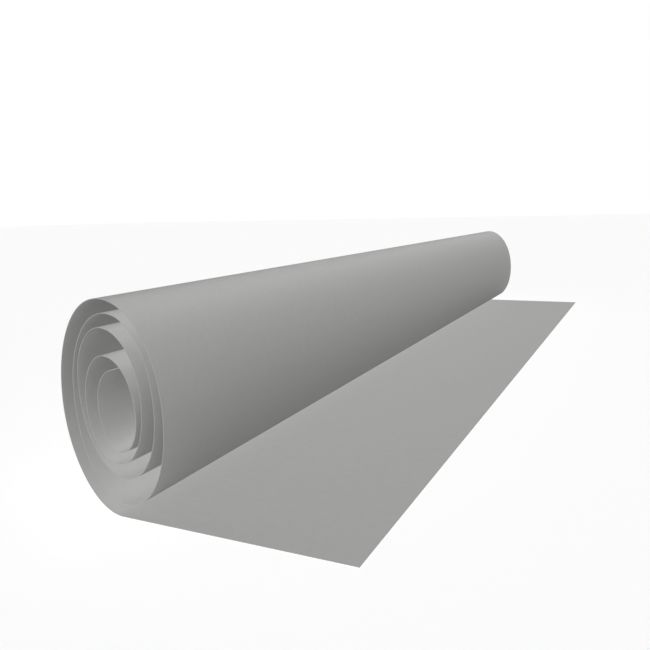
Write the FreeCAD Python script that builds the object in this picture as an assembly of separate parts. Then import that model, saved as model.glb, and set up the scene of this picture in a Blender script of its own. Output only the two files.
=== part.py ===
import FreeCAD, Part
import math
import os

# A loose roll of backdrop paper lying on the floor: one long sheet, wound into an open, leaning oval
# of four and a half turns, with the outer end lying flat in front of it. There is no core tube.
#
# Row frame, millimetres: X runs along the roll, +Y points from the flat tail to the back of the roll,
# +Z is up. The origin is on the floor, in the middle of the roll's length and of its whole depth.
#
# The oval is drawn as a draughtsman draws one, with two tangent arcs to each quarter turn. Each arc
# of the coil and each strip of the tail is a stretch of the sheet, as a solid of its own.

# ---- driving dimensions ----
SHEET_WIDTH = 2720.0       # width of the paper, which is the length of the roll
SHEET_THICKNESS = 0.8      # heavy backdrop stock
ROLL_HEIGHT = 345.7        # outside of the outermost turn, floor to top
ROLL_DEPTH = 199.3         # outside of the outermost turn, front to back
TAIL_LENGTH = 402.0        # flat stretch, from the roll's lowest line to the free edge
TAIL_STRIP_COUNT = 6       # the tail bends along the lines between its strips

# How far each turn keeps inside the one around it, from the outermost inwards.
GAPS_BELOW = (22.4, 42.0, 21.5, 20.0)
GAPS_BEHIND = (25.3, 11.0, 13.5, 24.5)
GAPS_ABOVE = (21.9, 22.6, 43.5, 21.2)
GAPS_IN_FRONT = (16.0, 23.5, 12.0)

# The oval leans back. The lowest and highest lines of each turn lie this share of the way from its
# front to its back, and its front and back lines this share of the way from its bottom to its top.
LOWEST_LINES = (0.455, 0.38, 0.31, 0.41, 0.46)
HIGHEST_LINES = (0.563, 0.54, 0.59, 0.59, 0.54)
FRONT_LINES = (0.47, 0.50, 0.50, 0.45)
BACK_LINES = (0.55, 0.58, 0.63, 0.59, 0.61)

# The heel of the outermost turn carries the roll and is squarer than an ellipse. Its small arc,
# which starts on the floor, turns through this share of what an ellipse's would.
HEEL_ARC_SHARE = 0.85

# The arcs of one turn, in the order that the sheet runs from the tail inwards.
ARC_NAMES = ("back_foot", "back_low", "back_high", "back_crown",
             "front_crown", "front_high", "front_low", "front_foot")

# ---- worked out from the above ----
TURN_COUNT = len(LOWEST_LINES)
TOTAL_DEPTH = TAIL_LENGTH + ROLL_DEPTH * (1.0 - LOWEST_LINES[0])
BACK_Y = TOTAL_DEPTH / 2.0
FRONT_Y = BACK_Y - ROLL_DEPTH
FREE_EDGE_Y = -TOTAL_DEPTH / 2.0
TAIL_STRIP_WIDTH = TAIL_LENGTH / TAIL_STRIP_COUNT


def running_sum(gaps):
    """How far in each turn lies, starting with none for the outermost."""
    sums = [0.0]
    for gap in gaps:
        sums.append(sums[-1] + gap)
    return sums


def between(low, high, share):
    return low + (high - low) * share


def turn_limits():
    """Lowest, highest, front and back position of each turn's outer face."""
    below = running_sum(GAPS_BELOW)
    above = running_sum(GAPS_ABOVE)
    behind = running_sum(GAPS_BEHIND)
    in_front = running_sum(GAPS_IN_FRONT)
    # The last half turn has no front of its own, so it is placed from the front of the turn before.
    in_front.append(in_front[-1])
    limits = []
    for turn in range(TURN_COUNT):
        low = below[turn]
        high = ROLL_HEIGHT - above[turn]
        front = FRONT_Y + in_front[turn]
        back = BACK_Y - behind[turn]
        limits.append((low, high, front, back))
    return limits


def spiral_points():
    """Where the sheet's outer face runs level or upright, from the tail inwards: the lowest, back,
    highest and front point of each turn. The sheet ends at the highest point of the last one."""
    points = []
    for turn, (low, high, front, back) in enumerate(turn_limits()):
        points.append((between(front, back, LOWEST_LINES[turn]), low))
        points.append((back, between(low, high, BACK_LINES[turn])))
        points.append((between(front, back, HIGHEST_LINES[turn]), high))
        if turn < TURN_COUNT - 1:
            points.append((front, between(low, high, FRONT_LINES[turn])))
    return points


def quarter_turn(start, end, starts_level, level_arc_share=1.0):
    """Two tangent arcs from one point of the spiral to the next, each as its centre, its radius and
    the directions from the centre in which it starts and ends."""
    level, upright = (start, end) if starts_level else (end, start)
    span_y = abs(upright[0] - level[0])
    span_z = abs(upright[1] - level[1])
    side = math.copysign(1.0, upright[0] - level[0])
    rise = math.copysign(1.0, upright[1] - level[1])
    # The arc at the level end turns through this angle, and the arc at the upright end through the
    # rest of the quarter turn. With a share of 1 the oval is close to an ellipse.
    angle = level_arc_share * math.atan2(span_z, span_y)
    sine, cosine = math.sin(angle), math.cos(angle)
    centre_gap = (span_z - span_y) / (sine + cosine - 1.0)
    upright_radius = span_y + centre_gap * sine
    level_radius = upright_radius - centre_gap
    level_centre = (level[0], level[1] + rise * level_radius)
    upright_centre = (upright[0] - side * upright_radius, upright[1])
    meeting = (side * sine, -rise * cosine)
    level_arc = [level_centre, level_radius, (0.0, -rise), meeting]
    upright_arc = [upright_centre, upright_radius, meeting, (side, 0.0)]
    if starts_level:
        return [level_arc, upright_arc]
    return [[c, r, last, first] for c, r, first, last in (upright_arc, level_arc)]


def coil_arcs():
    """Every arc of the coil by name, from the tail inwards."""
    points = spiral_points()
    arcs = []
    for index in range(len(points) - 1):
        share = HEEL_ARC_SHARE if index == 0 else 1.0
        starts_level = index % 2 == 0
        arcs += quarter_turn(points[index], points[index + 1], starts_level, share)
    named = {}
    for index, arc in enumerate(arcs):
        turn, place = divmod(index, len(ARC_NAMES))
        named["turn_%d_%s" % (turn + 1, ARC_NAMES[place])] = arc
    return named


def on_arc(centre, radius, direction):
    return FreeCAD.Vector(0, centre[0] + radius * direction[0], centre[1] + radius * direction[1])


def curved_stretch(centre, radius, first, last):
    """Stretch of sheet bent round a centre, with the given outer radius."""
    halfway = (first[0] + last[0], first[1] + last[1])
    length = math.hypot(*halfway)
    middle = (halfway[0] / length, halfway[1] / length)
    inner_radius = radius - SHEET_THICKNESS
    outer = [on_arc(centre, radius, d) for d in (first, middle, last)]
    inner = [on_arc(centre, inner_radius, d) for d in (last, middle, first)]
    edges = [Part.Arc(*outer).toShape(), Part.makeLine(outer[2], inner[0]),
             Part.Arc(*inner).toShape(), Part.makeLine(inner[2], outer[0])]
    solid = Part.Face(Part.Wire(edges)).extrude(FreeCAD.Vector(SHEET_WIDTH, 0, 0))
    solid.translate(FreeCAD.Vector(-SHEET_WIDTH / 2.0, 0, 0))
    return solid


def tail_strip(number):
    """One strip of the flat tail, counted from the roll outwards."""
    far_side_y = FREE_EDGE_Y + TAIL_LENGTH - number * TAIL_STRIP_WIDTH
    corner = FreeCAD.Vector(-SHEET_WIDTH / 2.0, far_side_y, 0)
    return Part.makeBox(SHEET_WIDTH, TAIL_STRIP_WIDTH, SHEET_THICKNESS, corner)


def build():
    nodes = {}
    for name, arc in coil_arcs().items():
        nodes[name] = curved_stretch(*arc)
    for number in range(1, TAIL_STRIP_COUNT + 1):
        nodes["tail_strip_%02d" % number] = tail_strip(number)
    return nodes


def export(nodes):
    os.makedirs("parts", exist_ok=True)
    for name, shape in nodes.items():
        shape.exportStep(os.path.join("parts", name + ".step"))
        print(name, "valid" if shape.isValid() else "NOT VALID", round(shape.Volume), "mm3")


export(build())
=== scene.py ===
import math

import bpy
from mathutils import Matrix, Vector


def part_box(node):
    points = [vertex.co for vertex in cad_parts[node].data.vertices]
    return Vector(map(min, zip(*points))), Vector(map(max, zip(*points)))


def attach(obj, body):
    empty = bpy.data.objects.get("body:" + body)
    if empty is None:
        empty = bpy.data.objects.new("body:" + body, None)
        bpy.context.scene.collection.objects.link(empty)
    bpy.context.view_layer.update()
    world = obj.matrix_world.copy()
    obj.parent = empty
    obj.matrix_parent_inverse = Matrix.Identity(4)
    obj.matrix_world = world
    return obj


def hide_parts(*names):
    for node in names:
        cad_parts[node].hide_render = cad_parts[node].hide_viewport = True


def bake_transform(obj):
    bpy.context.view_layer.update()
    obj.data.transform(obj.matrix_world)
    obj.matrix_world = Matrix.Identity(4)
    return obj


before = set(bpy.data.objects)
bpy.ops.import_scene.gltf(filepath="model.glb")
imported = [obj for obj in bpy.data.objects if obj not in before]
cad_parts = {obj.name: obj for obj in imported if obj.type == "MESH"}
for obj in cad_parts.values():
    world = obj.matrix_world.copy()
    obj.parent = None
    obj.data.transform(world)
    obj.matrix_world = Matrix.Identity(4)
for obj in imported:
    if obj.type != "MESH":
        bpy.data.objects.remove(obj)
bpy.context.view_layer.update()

# %% [markdown]
# # A loose roll of backdrop paper
#
# This lesson builds one sheet of heavy studio paper, 2.72 m wide. Most of it is wound into an open oval
# coil of four and a half turns, and its outer end lies flat on the floor. The real thing is a single
# sheet, so there is nothing to screw together. The work is in three places: the line that the sheet
# follows, the pieces it is cut into where it bends, and the paper itself.
#
# Everything is in metres, in the frame that was just loaded: X runs along the roll, -Y is the side where
# the tail lies, and the floor is at Z = 0.

# %% [markdown]
# ## The line that the sheet follows
#
# Seen from the end, the sheet is a line. It is level at the lowest and highest places of each turn, and
# upright at the front and back. Between two such places it is a quarter of an oval. A row of hand-placed
# curve points could follow it, but it would be lumpy, and it wouldn't follow the frame if that changed.
# So the places are read from the frame's own nodes: the box round the nodes of one quarter turn has the
# two places at opposite corners.

# %% The names of the stretches in the frame
QUARTERS = (("back_foot", "back_low"), ("back_high", "back_crown"),
            ("front_crown", "front_high"), ("front_low", "front_foot"))
QUARTERS_PER_TURN = len(QUARTERS)
NODES_PER_QUARTER = len(QUARTERS[0])
QUARTER_COUNT = sum(name.startswith("turn_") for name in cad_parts) // NODES_PER_QUARTER
TURN_COUNT = math.ceil(QUARTER_COUNT / QUARTERS_PER_TURN)
STRIP_COUNT = sum(name.startswith("tail_strip_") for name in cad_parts)


def nodes_of_quarter(index):
    """The two frame nodes of a quarter turn, counted from the tail inwards."""
    turn, quarter = divmod(index, QUARTERS_PER_TURN)
    return ["turn_%d_%s" % (turn + 1, place) for place in QUARTERS[quarter]]


print(TURN_COUNT, "turns started,", QUARTER_COUNT, "quarter turns,", STRIP_COUNT, "strips in the tail")


# %% The level and upright places, from the boxes
def box_of(names):
    """Lowest and highest corner of several frame nodes together."""
    corners = [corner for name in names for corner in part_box(name)]
    low = Vector([min(c[i] for c in corners) for i in range(3)])
    high = Vector([max(c[i] for c in corners) for i in range(3)])
    return low, high


def quarter_ends(index):
    """Where a quarter turn starts and ends, as (y, z), on the outer face of the sheet."""
    low, high = box_of(nodes_of_quarter(index))
    quarter = index % QUARTERS_PER_TURN
    goes_back = quarter in (0, 3)
    goes_up = quarter in (0, 1)
    start_y, end_y = (low.y, high.y) if goes_back else (high.y, low.y)
    start_z, end_z = (low.z, high.z) if goes_up else (high.z, low.z)
    return (start_y, start_z), (end_y, end_z)


ends = [quarter_ends(index) for index in range(QUARTER_COUNT)]
for index, ((y0, z0), (y1, z1)) in enumerate(ends):
    print("quarter %2d from (%.3f, %.3f) to (%.3f, %.3f)" % (index, y0, z0, y1, z1))

# %% [markdown]
# One Bezier curve joins each pair of places. Its handles are level and upright, so every quarter turn
# meets the next in one smooth line, and the long gentle sides and tight tops of the coil come by
# themselves. How full the curve is, between a cut corner and a square one, is found by making it pass
# through the place where the frame's two nodes meet. Two arcs, as the frame has, would show a faint
# line where the bend changes, because light on a smooth matte sheet shows how it bends.

# %% The curve of each quarter turn
FULLNESS_TRIES = [0.40 + 0.005 * step for step in range(60)]
POINTS_PER_TRY = 40


def quarter_point(index, fullness, t):
    """A point of the quarter turn's curve, whose handles are `fullness` of the way to its corner."""
    (y0, z0), (y1, z1) = ends[index]
    corner = (y1, z0) if index % 2 == 0 else (y0, z1)
    places = []
    for start, middle, end in ((y0, corner[0], y1), (z0, corner[1], z1)):
        first = start + (middle - start) * fullness
        second = end + (middle - end) * fullness
        places.append(start * (1 - t) ** 3 + 3 * first * t * (1 - t) ** 2
                      + 3 * second * t * t * (1 - t) + end * t ** 3)
    return Vector((0.0, *places))


def fullness_of(index):
    """The fullness with which the curve passes nearest to the place where the two nodes meet."""
    first, second = [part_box(name) for name in nodes_of_quarter(index)]
    middle_y = (max(first[0].y, second[0].y) + min(first[1].y, second[1].y)) / 2
    middle_z = (max(first[0].z, second[0].z) + min(first[1].z, second[1].z)) / 2
    meeting = Vector((0.0, middle_y, middle_z))

    def miss(fullness):
        return min((quarter_point(index, fullness, t / POINTS_PER_TRY) - meeting).length
                   for t in range(1, POINTS_PER_TRY))

    return min(FULLNESS_TRIES, key=miss)


quarter_fullness = [fullness_of(index) for index in range(QUARTER_COUNT)]
print("fullness from %.3f to %.3f" % (min(quarter_fullness), max(quarter_fullness)))

# %% [markdown]
# The whole line is now measured once, because paper doesn't stretch: every later step names a place on
# the sheet by its distance from the free edge.

# %% The sheet's own sizes, from the strips of the tail
strip_boxes = [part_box("tail_strip_%02d" % (i + 1)) for i in range(STRIP_COUNT)]
sheet_thickness = strip_boxes[0][1].z - strip_boxes[0][0].z
sheet_width = strip_boxes[0][1].x - strip_boxes[0][0].x
strip_length = strip_boxes[0][1].y - strip_boxes[0][0].y
free_edge_y = strip_boxes[-1][0].y
tail_length = STRIP_COUNT * strip_length
print("tail %.3f m long, in strips of %.3f m" % (tail_length, strip_length))

# %% The line of the sheet's outer face, from the free edge to the inner end
STEPS_PER_QUARTER = 96  # the flat tail is cut into as many

line = [Vector((0.0, free_edge_y + tail_length * i / STEPS_PER_QUARTER, 0.0))
        for i in range(STEPS_PER_QUARTER + 1)]
quarter_distance = [tail_length]
for index in range(QUARTER_COUNT):
    for step in range(STEPS_PER_QUARTER):
        line.append(quarter_point(index, quarter_fullness[index], (step + 1) / STEPS_PER_QUARTER))
    length_so_far = sum((b - a).length for a, b in zip(line, line[1:]))
    quarter_distance.append(length_so_far)
sheet_length = quarter_distance[-1]
print("sheet %.3f m wide, %.4f m thick, %.3f m long" % (sheet_width, sheet_thickness, sheet_length))


# %% A point of the line by its distance
def line_point(distance):
    """The point of the line at a distance from the free edge."""
    travelled = 0.0
    for first, second in zip(line, line[1:]):
        step = (second - first).length
        if travelled + step >= distance:
            return first.lerp(second, (distance - travelled) / step)
        travelled += step
    return line[-1]


print("roll's lowest line at Y = %.4f" % line_point(tail_length).y)

# %% The same line as a curve, for the modifier to follow
line_data = bpy.data.curves.new("sheet_line", "CURVE")
line_data.dimensions = "3D"
spline = line_data.splines.new("POLY")
spline.points.add(len(line) - 1)
for place, point in zip(spline.points, line):
    place.co = (*point, 1.0)
print(len(spline.points), "points in the line")

# %% [markdown]
# ## The paper itself
#
# Backdrop paper is dyed in the pulp, uncoated and matte. Close up it has two things a flat grey lacks: a
# cloudy unevenness where the pulp lies thicker, and fine fibres that mostly run along the sheet. The cut
# edge is also painted paler than the face, a painted highlight for the light that falls on it. An image
# texture would repeat over three metres, so the clouds and fibres are made from noise that is read in the
# sheet's own coordinates, metres from the free edge and metres from one side. The pattern then stays on
# the paper when the sheet bends.

# %% Small helpers for node trees
def add_node(tree, kind, **settings):
    """A new node with its settings, and its input values as given by index or name."""
    node = tree.nodes.new(kind)
    values = settings.pop("values", {})
    for key, value in settings.items():
        setattr(node, key, value)
    for key, value in values.items():
        node.inputs[key].default_value = value
    return node


def wire(tree, source, target):
    tree.links.new(source, target)


def maths(tree, operation, a, b=None):
    """The result of a sum, where each side is a number or another node's output."""
    node = add_node(tree, "ShaderNodeMath", operation=operation)
    for socket, value in zip(node.inputs, (a, b)):
        if isinstance(value, bpy.types.NodeSocket):
            wire(tree, value, socket)
        elif value is not None:
            socket.default_value = value
    return node.outputs[0]


print("three helpers: add_node, wire and maths")

# %% The look of the paper, in numbers
PAPER_GREY = (0.296, 0.296, 0.291)
PAPER_ROUGHNESS = 0.62
PAPER_SPECULAR = 0.2
NOISE_RANGE = (0.3, 0.7)  # nearly all of a noise texture's values lie between these
CLOUD_NOISE = {"Scale": 55.0, "Detail": 3.0, "Roughness": 0.6}
CLOUD_SHADES = (0.98, 1.02)  # the darkest and the palest, as a share of the grey
FIBRE_NOISE = {"Scale": 1.0, "Detail": 4.0, "Roughness": 0.7}
FIBRE_STRETCH = (260.0, 1900.0, 1.0)  # the fibres lie along the sheet, so they are close across it
FIBRE_SHADES = (0.955, 1.045)
# painted highlight: how much paler the cut edges' colour is painted than the face
CUT_EDGE_PAINTED_HIGHLIGHT = 1.18
FELT_STRENGTH = 0.6
FELT_HEIGHT = 0.00012
SHEET_MAP = "sheet_uv"
CUT_EDGE_MARK = "cut_edge"
print("grey", PAPER_GREY, "clouds", CLOUD_SHADES, "fibres", FIBRE_SHADES)


# %% The paper's material
def noise_shade(tree, place, noise_values, shades):
    """Noise read at a place on the sheet, as a share between two shades."""
    noise = add_node(tree, "ShaderNodeTexNoise", values=noise_values)
    wire(tree, place, noise.inputs["Vector"])
    spread = add_node(tree, "ShaderNodeMapRange",
                      values={"From Min": NOISE_RANGE[0], "From Max": NOISE_RANGE[1],
                              "To Min": shades[0], "To Max": shades[1]})
    wire(tree, noise.outputs[0], spread.inputs["Value"])
    return spread.outputs[0]


def paper_material(name):
    material = bpy.data.materials.new(name)
    material.use_nodes = True
    tree = material.node_tree
    tree.nodes.clear()
    out = add_node(tree, "ShaderNodeOutputMaterial")
    shader = add_node(tree, "ShaderNodeBsdfPrincipled",
                      values={"Roughness": PAPER_ROUGHNESS, "Specular IOR Level": PAPER_SPECULAR})
    wire(tree, shader.outputs[0], out.inputs[0])

    # Pulp clouds are large and soft. Fibres are the same kind of noise, stretched along the sheet.
    place = add_node(tree, "ShaderNodeUVMap", uv_map=SHEET_MAP)
    clouds = noise_shade(tree, place.outputs[0], CLOUD_NOISE, CLOUD_SHADES)
    stretch = add_node(tree, "ShaderNodeMapping", values={"Scale": FIBRE_STRETCH})
    wire(tree, place.outputs[0], stretch.inputs["Vector"])
    fibres = noise_shade(tree, stretch.outputs[0], FIBRE_NOISE, FIBRE_SHADES)
    pulp = maths(tree, "MULTIPLY", clouds, fibres)

    # The cut edge is painted paler than the faces: a painted highlight for the light that falls on the cut
    # edges.
    edge = add_node(tree, "ShaderNodeAttribute", attribute_name=CUT_EDGE_MARK)
    edge_painted_highlight = add_node(tree, "ShaderNodeMapRange", values={"To Min": 1.0, "To Max": CUT_EDGE_PAINTED_HIGHLIGHT})
    wire(tree, edge.outputs["Fac"], edge_painted_highlight.inputs["Value"])
    shade = maths(tree, "MULTIPLY", pulp, edge_painted_highlight.outputs[0])
    colour = add_node(tree, "ShaderNodeVectorMath", operation="SCALE", values={0: PAPER_GREY})
    wire(tree, shade, colour.inputs["Scale"])
    wire(tree, colour.outputs[0], shader.inputs["Base Color"])

    # The faces are felted: the fibres and the clouds stand about a hundredth of a millimetre proud.
    bump = add_node(tree, "ShaderNodeBump", values={"Strength": FELT_STRENGTH, "Distance": FELT_HEIGHT})
    wire(tree, pulp, bump.inputs["Height"])
    wire(tree, bump.outputs[0], shader.inputs["Normal"])
    return material


paper = paper_material("backdrop_paper")
print("material", paper.name, "with", len(paper.node_tree.nodes), "nodes")

# %% [markdown]
# ## A stretch of paper that follows the line
#
# A curve with a bevel could make the sheet, but it would have no real thickness at its edges and no
# sheet coordinates. Here a Geometry Nodes tree lays a flat grid on the line between two distances, gives
# it the paper's thickness towards the inside of the coil, and closes it all round. Its inputs are the
# sheet's own sizes, so one tree cuts every stretch. It is put together here in five short steps.

# %% Step one: the tree and its inputs
stretch_tree = bpy.data.node_groups.new("paper_stretch", "GeometryNodeTree")
sockets = stretch_tree.interface
sockets.new_socket("Line", in_out="INPUT", socket_type="NodeSocketGeometry")
for title in ("From", "To", "Sheet Width", "Sheet Thickness", "Step Along"):
    sockets.new_socket(title, in_out="INPUT", socket_type="NodeSocketFloat")
sockets.new_socket("Points Across", in_out="INPUT", socket_type="NodeSocketInt")
sockets.new_socket("Paper", in_out="INPUT", socket_type="NodeSocketMaterial")
sockets.new_socket("Sheet", in_out="OUTPUT", socket_type="NodeSocketGeometry")
given = add_node(stretch_tree, "NodeGroupInput")
result = add_node(stretch_tree, "NodeGroupOutput")
stretch_inputs = {item.name: item.identifier for item in sockets.items_tree if item.in_out == "INPUT"}
print("inputs", ", ".join(stretch_inputs))


# %% Step two: a flat grid that knows its place on the sheet
def stored(tree, geometry, name, data_type, domain, value):
    """The geometry with a value kept on it under a name."""
    store = add_node(tree, "GeometryNodeStoreNamedAttribute", data_type=data_type, domain=domain,
                     values={"Name": name})
    wire(tree, geometry, store.inputs["Geometry"])
    wire(tree, value, store.inputs["Value"])
    return store.outputs[0]


def flat_grid(tree):
    """A grid of one unit by one, and the distances along and across the sheet of its points."""
    length = maths(tree, "SUBTRACT", given.outputs["To"], given.outputs["From"])
    steps = maths(tree, "CEIL", maths(tree, "DIVIDE", length, given.outputs["Step Along"]))
    grid = add_node(tree, "GeometryNodeMeshGrid", values={"Size X": 1.0, "Size Y": 1.0})
    wire(tree, maths(tree, "ADD", steps, 1.0), grid.inputs["Vertices X"])
    wire(tree, given.outputs["Points Across"], grid.inputs["Vertices Y"])
    spot = add_node(tree, "ShaderNodeSeparateXYZ")
    wire(tree, add_node(tree, "GeometryNodeInputPosition").outputs[0], spot.inputs[0])
    share_along = maths(tree, "ADD", spot.outputs[0], 0.5)
    along = maths(tree, "ADD", given.outputs["From"], maths(tree, "MULTIPLY", share_along, length))
    share_across = maths(tree, "MULTIPLY", spot.outputs[1], -1.0)
    across = maths(tree, "MULTIPLY", share_across, given.outputs["Sheet Width"])
    uv = add_node(tree, "ShaderNodeCombineXYZ")
    wire(tree, along, uv.inputs[0])
    wire(tree, across, uv.inputs[1])
    mapped = stored(tree, grid.outputs[0], SHEET_MAP, "FLOAT2", "CORNER", uv.outputs[0])
    return mapped, along, across


flat, along_sheet, across_sheet = flat_grid(stretch_tree)
print("after the grid,", len(stretch_tree.nodes), "nodes")

# %% Step three: the grid laid on the line
INWARD_MARK = "inward"


def laid_on_line(tree, grid, along, across):
    """The grid on the line, with the direction towards the inside of the coil kept on its points."""
    sample = add_node(tree, "GeometryNodeSampleCurve", mode="LENGTH", use_all_curves=True)
    wire(tree, given.outputs["Line"], sample.inputs["Curves"])
    wire(tree, along, sample.inputs["Length"])
    inward = add_node(tree, "ShaderNodeVectorMath", operation="CROSS_PRODUCT", values={0: (1.0, 0.0, 0.0)})
    wire(tree, sample.outputs["Tangent"], inward.inputs[1])
    marked = stored(tree, grid, INWARD_MARK, "FLOAT_VECTOR", "POINT", inward.outputs[0])
    sideways = add_node(tree, "ShaderNodeCombineXYZ")
    wire(tree, across, sideways.inputs[0])
    target = add_node(tree, "ShaderNodeVectorMath", operation="ADD")
    wire(tree, sample.outputs["Position"], target.inputs[0])
    wire(tree, sideways.outputs[0], target.inputs[1])
    laid = add_node(tree, "GeometryNodeSetPosition")
    wire(tree, marked, laid.inputs["Geometry"])
    wire(tree, target.outputs[0], laid.inputs["Position"])
    return laid.outputs[0]


outer_face = laid_on_line(stretch_tree, flat, along_sheet, across_sheet)
print("after the line,", len(stretch_tree.nodes), "nodes")

# %% Step four: thickness, with the outer face kept and turned over as the back
MERGE_DISTANCE = 0.00001


def thickened(tree, laid):
    """A closed sheet, whose inner face is raised from the outer one."""
    raised = add_node(tree, "GeometryNodeExtrudeMesh", mode="FACES",
                      values={"Offset Scale": 0.0, "Individual": False})
    wire(tree, laid, raised.inputs["Mesh"])
    # the side faces are the cut edges, where the paper's material paints its highlight
    marked = stored(tree, raised.outputs["Mesh"], CUT_EDGE_MARK, "FLOAT", "FACE", raised.outputs["Side"])
    inward = add_node(tree, "GeometryNodeInputNamedAttribute", data_type="FLOAT_VECTOR",
                      values={"Name": INWARD_MARK})
    rise = add_node(tree, "ShaderNodeVectorMath", operation="SCALE")
    wire(tree, inward.outputs["Attribute"], rise.inputs[0])
    wire(tree, given.outputs["Sheet Thickness"], rise.inputs["Scale"])
    lifted = add_node(tree, "GeometryNodeSetPosition")
    wire(tree, marked, lifted.inputs["Geometry"])
    wire(tree, raised.outputs["Top"], lifted.inputs["Selection"])
    wire(tree, rise.outputs[0], lifted.inputs["Offset"])
    back = add_node(tree, "GeometryNodeFlipFaces")
    wire(tree, laid, back.inputs["Mesh"])
    whole = add_node(tree, "GeometryNodeJoinGeometry")
    wire(tree, lifted.outputs[0], whole.inputs[0])
    wire(tree, back.outputs[0], whole.inputs[0])
    merged = add_node(tree, "GeometryNodeMergeByDistance", values={"Distance": MERGE_DISTANCE})
    wire(tree, whole.outputs[0], merged.inputs["Geometry"])
    return merged.outputs[0]


closed = thickened(stretch_tree, outer_face)
print("after the thickness,", len(stretch_tree.nodes), "nodes")

# %% Step five: smooth faces, crisp cut edges, and the paper
CRISP_ANGLE = math.radians(40)


def dressed(tree, mesh):
    """The sheet, shaded and with its material."""
    smooth = add_node(tree, "GeometryNodeSetShadeSmooth", domain="FACE", values={"Shade Smooth": True})
    wire(tree, mesh, smooth.inputs["Geometry"])
    edge_angle = add_node(tree, "GeometryNodeInputMeshEdgeAngle")
    sharp = add_node(tree, "FunctionNodeCompare", data_type="FLOAT", operation="GREATER_THAN",
                     values={1: CRISP_ANGLE})
    wire(tree, edge_angle.outputs["Unsigned Angle"], sharp.inputs[0])
    crisp = add_node(tree, "GeometryNodeSetShadeSmooth", domain="EDGE", values={"Shade Smooth": False})
    wire(tree, smooth.outputs[0], crisp.inputs["Geometry"])
    wire(tree, sharp.outputs[0], crisp.inputs["Selection"])
    cleared = add_node(tree, "GeometryNodeRemoveAttribute", values={"Name": INWARD_MARK})
    wire(tree, crisp.outputs[0], cleared.inputs["Geometry"])
    real = add_node(tree, "GeometryNodeRealizeInstances")
    wire(tree, cleared.outputs[0], real.inputs["Geometry"])
    painted = add_node(tree, "GeometryNodeSetMaterial")
    wire(tree, real.outputs[0], painted.inputs["Geometry"])
    wire(tree, given.outputs["Paper"], painted.inputs["Material"])
    return painted.outputs[0]


wire(stretch_tree, dressed(stretch_tree, closed), result.inputs[0])
print("the whole tree,", len(stretch_tree.nodes), "nodes")

# %% One stretch as a plain mesh
STEP_ALONG = 0.0026
POINTS_ACROSS = 9


def paper_stretch(name, start, end):
    """The sheet between two distances from its free edge."""
    guide = bpy.data.objects.new(name + "_guide", line_data)
    bpy.context.scene.collection.objects.link(guide)
    modifier = guide.modifiers.new("paper_stretch", "NODES")
    modifier.node_group = stretch_tree
    sizes = {"From": start, "To": end, "Sheet Width": sheet_width, "Sheet Thickness": sheet_thickness,
             "Step Along": STEP_ALONG, "Points Across": POINTS_ACROSS, "Paper": paper}
    for title, value in sizes.items():
        modifier[stretch_inputs[title]] = value
    bpy.context.view_layer.update()
    evaluated = guide.evaluated_get(bpy.context.evaluated_depsgraph_get())
    mesh = bpy.data.meshes.new_from_object(evaluated)
    bpy.data.objects.remove(guide)
    mesh.name = name
    piece = bpy.data.objects.new(name, mesh)
    bpy.context.scene.collection.objects.link(piece)
    return piece


print("rows %.1f mm apart, each of %d points" % (STEP_ALONG * 1000, POINTS_ACROSS))

# %% [markdown]
# ## The tail, strip by strip
#
# The tail is the outer end of the sheet, lying flat. When it is rolled up it bends along the lines between
# the frame's strips. One long piece could only follow two bodies, and a piece that ended on a bend would
# crease there. So every visible piece runs from the middle of one strip to the middle of the next.

# %% The tail
half_strip = strip_length / 2
pieces = []


def finish_piece(piece, nodes):
    """Hides the frame nodes that a stretch of the sheet stands for, and keeps the stretch in the list of
    pieces.
    """
    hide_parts(*nodes)
    pieces.append(piece)


for number in range(1, STRIP_COUNT + 1):
    roll_side = tail_length - (number - 1.5) * strip_length  # half a strip before the bend line
    free_side = 0.0 if number == STRIP_COUNT else roll_side - strip_length
    piece = paper_stretch("tail_%02d" % number, free_side, roll_side)
    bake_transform(piece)
    finish_piece(piece, ["tail_strip_%02d" % number])
print(len(pieces), "pieces of tail")

# %% [markdown]
# ## The coil
#
# The coil telescopes: each half turn slides a little further than the one before. The half turns meet on
# the lowest and highest lines, so the visible pieces span those lines, from front to back over the top
# or under the bottom.

# %% The outermost heel, which stands on the floor
heel_start, heel_end = tail_length + half_strip, quarter_distance[1]
heel = paper_stretch("turn_1_heel", heel_start, heel_end)
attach(heel, "turn_1_back")
finish_piece(heel, nodes_of_quarter(0))
print("heel, %.3f m of sheet" % (heel_end - heel_start))

# %% The half turns over the top and under the bottom
INNER_BEND = 0.030  # how far before the inner end's upright place at the back the last half turn stops and the inner end starts
half_bodies = []
for turn in range(1, TURN_COUNT + 1):
    half_bodies += ["turn_%d_back" % turn, "turn_%d_front" % turn]
half_count = (QUARTER_COUNT - 1) // 2

for half in range(half_count):
    first_quarter = 1 + 2 * half
    start, end = quarter_distance[first_quarter], quarter_distance[first_quarter + 2]
    if half == half_count - 1:
        end -= INNER_BEND
    over = half % 2 == 0
    name = "turn_%d_%s" % (half // 2 + 1 + (0 if over else 1), "over" if over else "under")
    piece = paper_stretch(name, start, end)
    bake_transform(piece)
    finish_piece(piece, nodes_of_quarter(first_quarter) + nodes_of_quarter(first_quarter + 1))
    print(name, "%.3f m of sheet" % (end - start))

# %% [markdown]
# ## The inner end
#
# The last quarter turn is held by nothing, so it springs inwards a little when it is pushed. Its hinge
# line is where the sheet stands upright at the back. It is a piece of its own, which starts a few
# centimetres before that line.

# %% The free inner end
inner_start = quarter_distance[-2] - INNER_BEND
inner_end = paper_stretch("inner_end", inner_start, sheet_length)
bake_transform(inner_end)
finish_piece(inner_end, nodes_of_quarter(QUARTER_COUNT - 1))
print(len(pieces), "pieces in all")

# %% [markdown]
# ## Floor
#
# The roll lies on a plain white floor. It is one big flat face, with a material that has no shine, so that
# nothing competes with the paper. It lies a hair lower than the sheet, or the two faces would flicker
# through each other.

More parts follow.
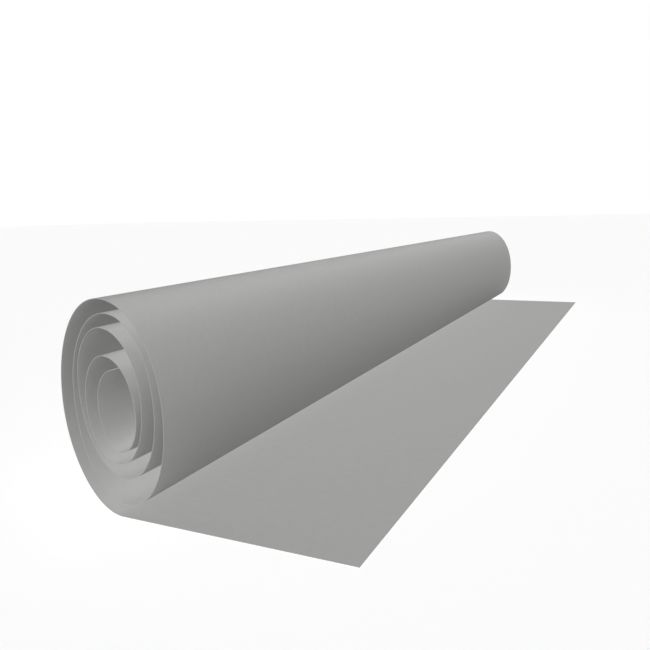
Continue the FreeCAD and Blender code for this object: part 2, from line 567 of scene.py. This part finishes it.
# %% The floor
FLOOR_HALF = 30.0
FLOOR_DROP = 0.0003
FLOOR_WHITE = (0.92, 0.92, 0.92, 1.0)
FLOOR_ROUGHNESS = 0.9
floor_corners = [(x * FLOOR_HALF, y * FLOOR_HALF, -FLOOR_DROP)
                 for x, y in ((-1, -1), (1, -1), (1, 1), (-1, 1))]
floor_mesh = bpy.data.meshes.new("floor")
floor_mesh.from_pydata(floor_corners, [], [(0, 1, 2, 3)])
floor = bpy.data.objects.new("floor", floor_mesh)
bpy.context.scene.collection.objects.link(floor)
floor_material = bpy.data.materials.new("pale_floor")
floor_material.use_nodes = True
floor_shader = floor_material.node_tree.nodes["Principled BSDF"]
floor_shader.inputs["Base Color"].default_value = FLOOR_WHITE
floor_shader.inputs["Roughness"].default_value = FLOOR_ROUGHNESS
floor_shader.inputs["Specular IOR Level"].default_value = 0.0
floor_mesh.materials.append(floor_material)
print("floor %.0f m across" % (2 * FLOOR_HALF))

# %% [markdown]
# ## Light
#
# A matte sheet shows its shape by one thing only: how its tone changes as it turns from the light. Area
# lamps would do, but the coil's turns would shade each other nearly black. Here a ring of distant, broad
# lamps stands round the roll, most of them high, and they cast no shadows, as if the whole room were
# bright. One small lamp off the near end picks out the cut edges of the paper, which face that way and
# nothing else does. The world is plain white to look at, and gives hardly any light.

# %% The world
WORLD_LIGHT = 0.04
WORLD_SEEN = 1.0
WHITE = (1.0, 1.0, 1.0, 1.0)
world = bpy.data.worlds.new("studio")
bpy.context.scene.world = world
world.use_nodes = True
sky = world.node_tree
sky.nodes.clear()
sky_out = add_node(sky, "ShaderNodeOutputWorld")
soft = add_node(sky, "ShaderNodeBackground", values={"Color": WHITE, "Strength": WORLD_LIGHT})
seen = add_node(sky, "ShaderNodeBackground", values={"Color": WHITE, "Strength": WORLD_SEEN})
path = add_node(sky, "ShaderNodeLightPath")
mix = add_node(sky, "ShaderNodeMixShader")
wire(sky, path.outputs["Is Camera Ray"], mix.inputs[0])
wire(sky, soft.outputs[0], mix.inputs[1])
wire(sky, seen.outputs[0], mix.inputs[2])
wire(sky, mix.outputs[0], sky_out.inputs[0])
print("world seen at", WORLD_SEEN, "and lighting at", WORLD_LIGHT)

# %% The lamps
BROAD = 10.0
NARROW = 1.5
# Each lamp: its strength, its height in degrees round from the level on the tail's side, how far it
# stands towards the far end of the roll (the near end where it is negative), and its width in degrees.
STUDIO_LAMPS = {"front": (0.66, 0.0, 0.0, BROAD), "front_high": (0.72, 40.0, 0.7, BROAD),
                "top_front": (0.63, 70.0, 0.7, BROAD), "top_far": (1.16, 80.0, 0.7, BROAD),
                "top": (1.15, 90.0, 0.0, BROAD), "top_back": (0.60, 115.0, 0.7, BROAD),
                "back": (1.32, 180.0, 0.0, BROAD), "floor_glow": (0.16, -90.0, 0.0, BROAD),
                "near_end": (1.80, 0.0, -1.0, NARROW)}


def sun(name, towards, strength, width):
    """A distant light that shines along a direction and casts no shadows."""
    light = bpy.data.lights.new(name, "SUN")
    light.energy = strength
    light.angle = math.radians(width)
    light.use_shadow = False
    lamp = bpy.data.objects.new(name, light)
    lamp.rotation_euler = Vector(towards).to_track_quat("-Z", "Y").to_euler()
    bpy.context.scene.collection.objects.link(lamp)


for lamp_name, (strength, height, along, width) in STUDIO_LAMPS.items():
    across = math.sqrt(1.0 - along * along)
    height = math.radians(height)
    source = Vector((along, -math.cos(height) * across, math.sin(height) * across))
    sun(lamp_name, -source, strength, width)
print(len(STUDIO_LAMPS), "lamps")

# %% [markdown]
# ## Camera
#
# The camera stands low, off the near end of the roll on the tail's side, and looks along it, so that the
# coil is seen end on and the length runs away from the eye. It could be aimed with a tracking constraint,
# but a fixed place and three angles are plain, and stay the same when the scene is run again. Its place is
# given from the tail's near corner.

# %% The camera
CAMERA_LENS = 38.12
SENSOR_WIDTH = 36.0
CLIP_RANGE = (0.05, 100.0)
PLACE_FROM_CORNER = Vector((-0.7793, -0.3321, 0.4677))
HEADING = math.radians(25.65)  # from +X towards +Y
TILT = math.radians(-9.44)
LEAN = math.radians(-1.40)
RIGHT_ANGLE = math.pi / 2
near_corner = Vector((-sheet_width / 2, free_edge_y, 0.0))
camera_data = bpy.data.cameras.new("camera")
camera_data.sensor_width = SENSOR_WIDTH
camera_data.lens = CAMERA_LENS
camera_data.clip_start, camera_data.clip_end = CLIP_RANGE
camera = bpy.data.objects.new("camera", camera_data)
turned = (Matrix.Rotation(HEADING - RIGHT_ANGLE, 4, "Z") @ Matrix.Rotation(RIGHT_ANGLE + TILT, 4, "X")
          @ Matrix.Rotation(LEAN, 4, "Z"))
camera.matrix_world = Matrix.Translation(near_corner + PLACE_FROM_CORNER) @ turned
bpy.context.scene.collection.objects.link(camera)
bpy.context.scene.camera = camera
bpy.context.scene.view_settings.view_transform = "Standard"
print("camera at", [round(v, 3) for v in near_corner + PLACE_FROM_CORNER])
